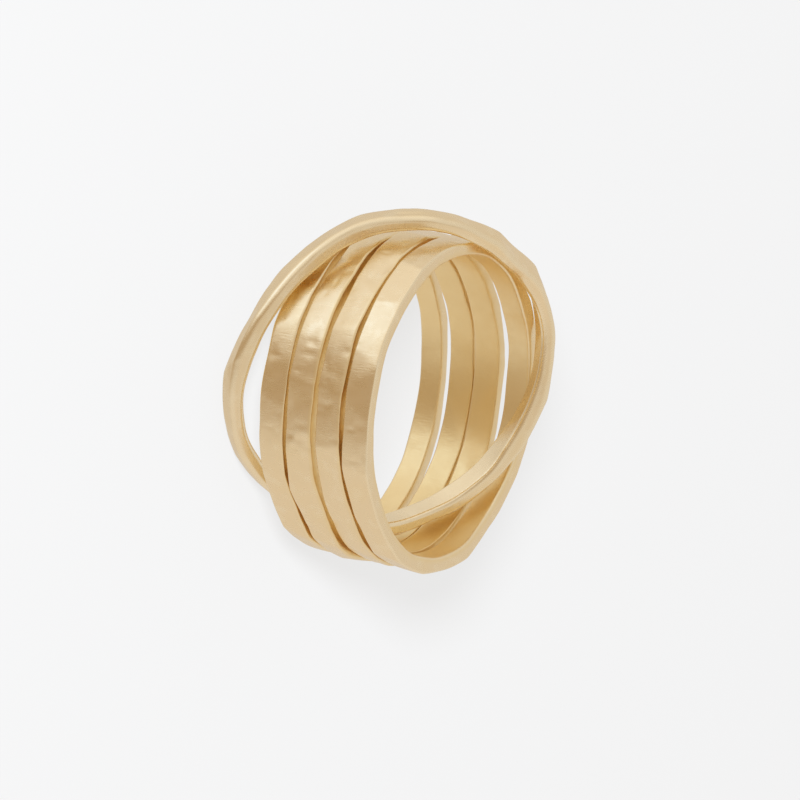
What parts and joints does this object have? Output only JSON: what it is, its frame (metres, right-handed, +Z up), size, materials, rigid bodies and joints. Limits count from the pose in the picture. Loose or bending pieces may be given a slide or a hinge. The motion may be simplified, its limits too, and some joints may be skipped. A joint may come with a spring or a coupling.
{
  "type": "finger ring",
  "caption": "Hand-hammered satin gold finger ring: slim flat bands lie side by side, and one more band crosses over them outside and passes back inside, linking them.",
  "frame": {"origin": "centre of the bounding box in X and Y, on the surface that the ring lies on", "axes": "+Z up. The ring lies on its side, so its finger hole opens upward, leaning 8.5 degrees from +Z. The picture looks along +Y and 37 degrees downward, with the picture's top toward -X."},
  "size_m": [0.0208, 0.021, 0.0102],
  "materials": {
    "yellow_gold": "hand-hammered yellow gold with a fine brushed satin surface and softly burnished edges"
  },
  "bodies": {
    "root": {"band_1": "yellow_gold", "band_2": "yellow_gold", "band_3": "yellow_gold", "band_4": "yellow_gold", "crossing_band": "yellow_gold"}
  },
  "joints": []
}
